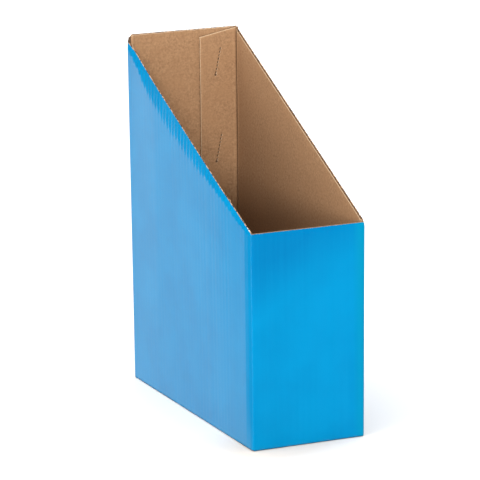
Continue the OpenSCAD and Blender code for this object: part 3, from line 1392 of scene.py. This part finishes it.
@dataclass
class BottomFlap:
    """One flap of the closed bottom, folded in from the foot of its panel.

    It is drawn as the left panel's flap, with X inwards from the panel's outside, then turned.
    """

    form: BoxForm
    name: str
    turn: float
    panel_x: float
    reach: float
    length: float
    roll_length: float
    lying_on_sides: bool
    climb: float = math.radians(60)
    crushed: float = 2.2 * MM
    per_wave: int = 8
    roll_steps: int = 12
    flap_steps: int = 4

    def outer_path(self, strip: Strip) -> None:
        """Draws the outer liner's profile: the roll, the climb on to the side flaps, the flap.

        Args:
            strip: The profile's first vertex, at the top of the roll.
        """
        radius, board = self.form.foot_radius, self.form.board.thickness
        angle = math.pi / 2 + (self.climb if self.lying_on_sides else 0.0)
        strip.spin(self.roll_steps, centre=(radius, 0, radius), axis=(0, -1, 0), angle=angle)
        end = strip.front[0].co.copy()
        if self.lying_on_sides:
            top = Vector((end.x + (board - end.z) / math.tan(self.climb), 0, board))
            strip.go(top - end, 2)
            end = top
        strip.go(Vector((self.reach - end.x, 0, 0)), self.flap_steps)

    def inner_path(self, strip: Strip) -> None:
        """Draws the inner liner's profile from the inside corner to the flap's edge.

        Args:
            strip: The profile's first vertex, at the inside corner.
        """
        start = strip.front[0].co.copy()
        if self.lying_on_sides:
            rise = 2 * self.form.board.thickness - start.z
            strip.go(Vector((rise / math.tan(self.climb), 0, rise)), 2)
            start = strip.front[0].co.copy()
        strip.go(Vector((self.reach - start.x, 0, 0)), self.flap_steps)

    def foot(self) -> Vector:
        """Where the inner liner leaves the inside corner.

        Returns:
            The place, seen along the fold.
        """
        form = self.form
        board = form.board.thickness
        if not self.lying_on_sides:
            return Vector((board, 0, board))
        x = form.foot_radius * (1 + math.sin(self.climb)) - self.crushed * math.sin(self.climb)
        z = form.foot_radius * (1 - math.cos(self.climb)) + self.crushed * math.cos(self.climb)
        return Vector((board, 0, z + (board - x) * math.tan(self.climb)))

    def sweep(self, strip: Strip) -> None:
        """Sweeps the profile along the fold, with the flutes between two closed margins.

        Args:
            strip: The profile, drawn at the middle of the fold.
        """
        margin = self.form.board.edge_margin
        run = self.length - 2 * margin
        waves = round(run / self.form.board.pitch)
        strip.shift_all(Vector((0, -self.length / 2, 0)))
        strip.take_profile()
        strip.go(Vector((0, margin, 0)), 1)
        start = -self.length / 2 + margin
        for vert in strip.go(Vector((0, run, 0)), waves * self.per_wave):
            vert[strip.wave] = waves * (vert.co.y - start) / run
            vert[strip.flat] = 1.0
        strip.go(Vector((0, margin, 0)), 1)

    def finish(
        self, strip: Strip, part: str, materials: list[Material], thickness: float, side: int
    ) -> None:
        """Turns a sheet to its place and makes a piece of it.

        Args:
            strip: The sheet.
            part: Name of the sheet within the flap.
            materials: Materials of its face and of its cut edges.
            thickness: Thickness of the paper.
            side: 1 where its face looks down, -1 where it looks up, 0 for the waved sheet.
        """
        for vert in strip.bm.verts:
            vert[strip.out] = Vector((0, 0, -1))
            if vert.co.x < self.form.foot_radius + self.form.corner_play:
                vert.co.y *= self.roll_length / self.length
        strip.face_along(side or 1)
        place = Matrix.Rotation(self.turn, 4, "Z") @ Matrix.Translation((-self.panel_x, 0, 0))
        bmesh.ops.transform(strip.bm, matrix=place, verts=strip.bm.verts[:])
        for vert in strip.bm.verts:
            vert.co = self.form.flared(vert.co)
        dress(f"{self.name}_{part}", strip.bm, materials, thickness, offset=-1 if side else 0)

    def build(self, finishes: Finishes) -> None:
        """Builds the flap's three sheets.

        Args:
            finishes: The materials.
        """
        form, board = self.form, self.form.board
        outer = Strip(Vector((0, 0, form.foot_radius)))
        self.outer_path(outer)
        self.sweep(outer)
        slots = [finishes.printed, finishes.cut_edge]
        self.finish(outer, "outer_liner", slots, board.outer_liner, 1)

        inner = Strip(self.foot())
        self.inner_path(inner)
        self.sweep(inner)
        slots = [finishes.kraft, finishes.cut_edge]
        self.finish(inner, "inner_liner", slots, board.inner_liner, -1)

        on_sides = 1 if self.lying_on_sides else 0
        level = board.outer_liner + board.channel / 2 + board.thickness * on_sides
        lead = form.fold_zone + form.crush_run * on_sides
        medium = Strip(Vector((lead, 0, level)))
        medium.go(Vector((self.reach - lead, 0, 0)), 2)
        self.sweep(medium)
        for vert in medium.bm.verts:
            wave = math.cos(2 * math.pi * vert[medium.wave])
            vert.co.z -= vert[medium.flat] * board.swing / 2 * wave
        slots = [finishes.medium, finishes.cut_edge]
        self.finish(medium, "medium", slots, board.medium, 0)


def bottom_flaps(form: BoxForm) -> list[BottomFlap]:
    """Lists the four flaps of the bottom, as the solid has them.

    Args:
        form: Outline of the box.

    Returns:
        Two side flaps that meet under the middle, and the front and back flaps that lie on them.
    """
    seam_gap, side_gap, clearance = 1 * MM, 0.9 * MM, 0.8 * MM
    climb = BottomFlap.climb
    tangent = form.foot_radius * (1 + math.sin(climb))
    rise = form.board.thickness - form.foot_radius * (1 - math.cos(climb))
    reach = form.half_w - seam_gap / 2
    side_length = 2 * (form.half_d - tangent - rise / math.tan(climb) - side_gap)
    side_roll = 2 * (form.half_d - form.fold_radius)
    end_length = 2 * (form.inner_w - clearance)
    end_roll = 2 * (form.half_w - form.fold_radius)
    sides = (form.half_w, reach, side_length, side_roll, False)
    ends = (form.half_d, reach, end_length, end_roll, True)
    return [
        BottomFlap(form, "left_bottom_flap", 0.0, *sides),
        BottomFlap(form, "right_bottom_flap", math.pi, *sides),
        BottomFlap(form, "front_bottom_flap", math.pi / 2, *ends),
        BottomFlap(form, "back_bottom_flap", -math.pi / 2, *ends),
    ]


# Studio


@dataclass(frozen=True)
class PhotoCamera:
    """The camera of the photograph, found from the box's corners."""

    azimuth: float = math.radians(-23.877)
    elevation: float = math.radians(13.129)
    roll: float = math.radians(-0.689)
    focal_px: float = 3350.4
    frame_px: float = 480
    sensor: float = 36
    target_height: float = 155 * MM
    distance: float = 2867.0 * MM
    aside: float = -3.17 * MM
    above: float = -7.34 * MM
    clip: Span = (0.05, 100)

    def build(self) -> None:
        """Builds the camera and makes it the scene's."""
        level = math.cos(self.elevation)
        sine, cosine = math.sin(self.azimuth), math.cos(self.azimuth)
        back = Vector((sine * level, -cosine * level, math.sin(self.elevation)))
        right = Vector((cosine, sine, 0))
        up = back.cross(right)
        tilted_right = math.cos(self.roll) * right + math.sin(self.roll) * up
        tilted_up = -math.sin(self.roll) * right + math.cos(self.roll) * up
        place = Vector((0, 0, self.target_height)) + self.distance * back
        place += self.aside * tilted_right + self.above * tilted_up
        data = bpy.data.cameras.new("photo_camera")
        data.sensor_fit = "HORIZONTAL"
        data.sensor_width = self.sensor
        data.lens = self.focal_px * self.sensor / self.frame_px
        data.clip_start, data.clip_end = self.clip
        camera = bpy.data.objects.new("photo_camera", data)
        turned = Matrix((tilted_right, tilted_up, back)).transposed().to_4x4()
        camera.matrix_world = Matrix.Translation(place) @ turned
        bpy.context.scene.collection.objects.link(camera)
        bpy.context.scene.camera = camera


@dataclass(frozen=True)
class SoftLight:
    """A soft light from far away, with its breadth in degrees."""

    name: str
    towards: Triple
    strength: float
    breadth: float

    def build(self) -> None:
        """Hangs the light."""
        data = bpy.data.lights.new(self.name, "SUN")
        data.energy = self.strength
        data.angle = math.radians(self.breadth)
        light = bpy.data.objects.new(self.name, data)
        light.rotation_euler = Vector(self.towards).to_track_quat("Z", "Y").to_euler()
        bpy.context.scene.collection.objects.link(light)


@dataclass(frozen=True)
class Studio:
    """Pale floor, three soft lights and a dim room with one light reflector low behind the box.

    The varnish mirrors the room and not the floor, so the reflector alone gives the side panel its
    pale veil. Its angles are degrees from behind and over the horizon, each with full and no light.
    """

    floor_size: float = 24.0
    floor_squares: int = 8
    lights: tuple[SoftLight, ...] = (
        SoftLight("overhead_softbox", (0.0, 0.0, 1.0), 3.95, 104),
        SoftLight("front_softbox", (-0.32, -0.95, 0.05), 3.8, 16),
        SoftLight("left_softbox", (-1.0, -0.09, 0.22), 2.6, 60),
    )
    room: float = 0.05
    reflector: float = 1.32
    reflector_tint: tuple[float, float, float, float] = (1.0, 0.8, 0.66, 1.0)
    azimuth: Span = (20.0, 34.0)
    upper: Span = (-9.8, -7.4)
    lower: Span = (-18.5, -25.0)

    def build(self) -> None:
        """Builds the floor, the lights and the room."""
        bm = bmesh.new()
        squares = self.floor_squares
        bmesh.ops.create_grid(bm, x_segments=squares, y_segments=squares, size=self.floor_size / 2)
        mesh = bpy.data.meshes.new("studio_floor")
        bm.to_mesh(mesh)
        bm.free()
        mesh.materials.append(StudioFloor().make())
        floor = bpy.data.objects.new("studio_floor", mesh)
        floor.visible_glossy = False
        bpy.context.scene.collection.objects.link(floor)
        for light in self.lights:
            light.build()
        self.light_room()
        bpy.context.scene.view_settings.view_transform = "Standard"

    def light_room(self) -> None:
        """Gives the room its dim light and the low reflector behind the box."""
        world = bpy.data.worlds.new("studio_room")
        world.use_nodes = True
        tree = world.node_tree
        tree.nodes.clear()
        place = parts(tree, add_node(tree, "TexCoord").outputs["Generated"])
        turn = calc(tree, "ABSOLUTE", calc(tree, "ARCTAN2", place["X"], place["Y"]))
        share = spread(tree, turn, tuple(math.radians(a) for a in self.azimuth), (1.0, 0.0))
        for full, end in (self.upper, self.lower):
            sines = (math.sin(math.radians(full)), math.sin(math.radians(end)))
            share = calc(tree, "MULTIPLY", share, spread(tree, place["Z"], sines, (1.0, 0.0)))
        level = spread(tree, share, (0.0, 1.0), (self.room, self.reflector))
        light = add_node(tree, "Background", {"Strength": level, "Color": self.reflector_tint})
        add_node(tree, "OutputWorld", {"Surface": light.outputs["Background"]})
        bpy.context.scene.world = world


def main() -> None:
    """Builds the studio and every piece of the box."""
    logging.basicConfig(level=logging.INFO, format="%(name)s: %(message)s")
    PhotoCamera().build()
    Studio().build()
    finishes = Finishes.build()
    form, crush = BoxForm(*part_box(NODE)), RimCrush()
    board = form.board
    OuterLiner(form, crush, inset=0.0, per_wave=8).build(finishes)
    middle = board.outer_liner + board.channel / 2
    FlutingMedium(form, crush, inset=middle, per_wave=12).build(finishes)
    InnerLiner(form, crush, inset=board.thickness, per_wave=8).build(finishes)
    for flap in bottom_flaps(form):
        flap.build(finishes)


if __name__ == "__main__":
    main()
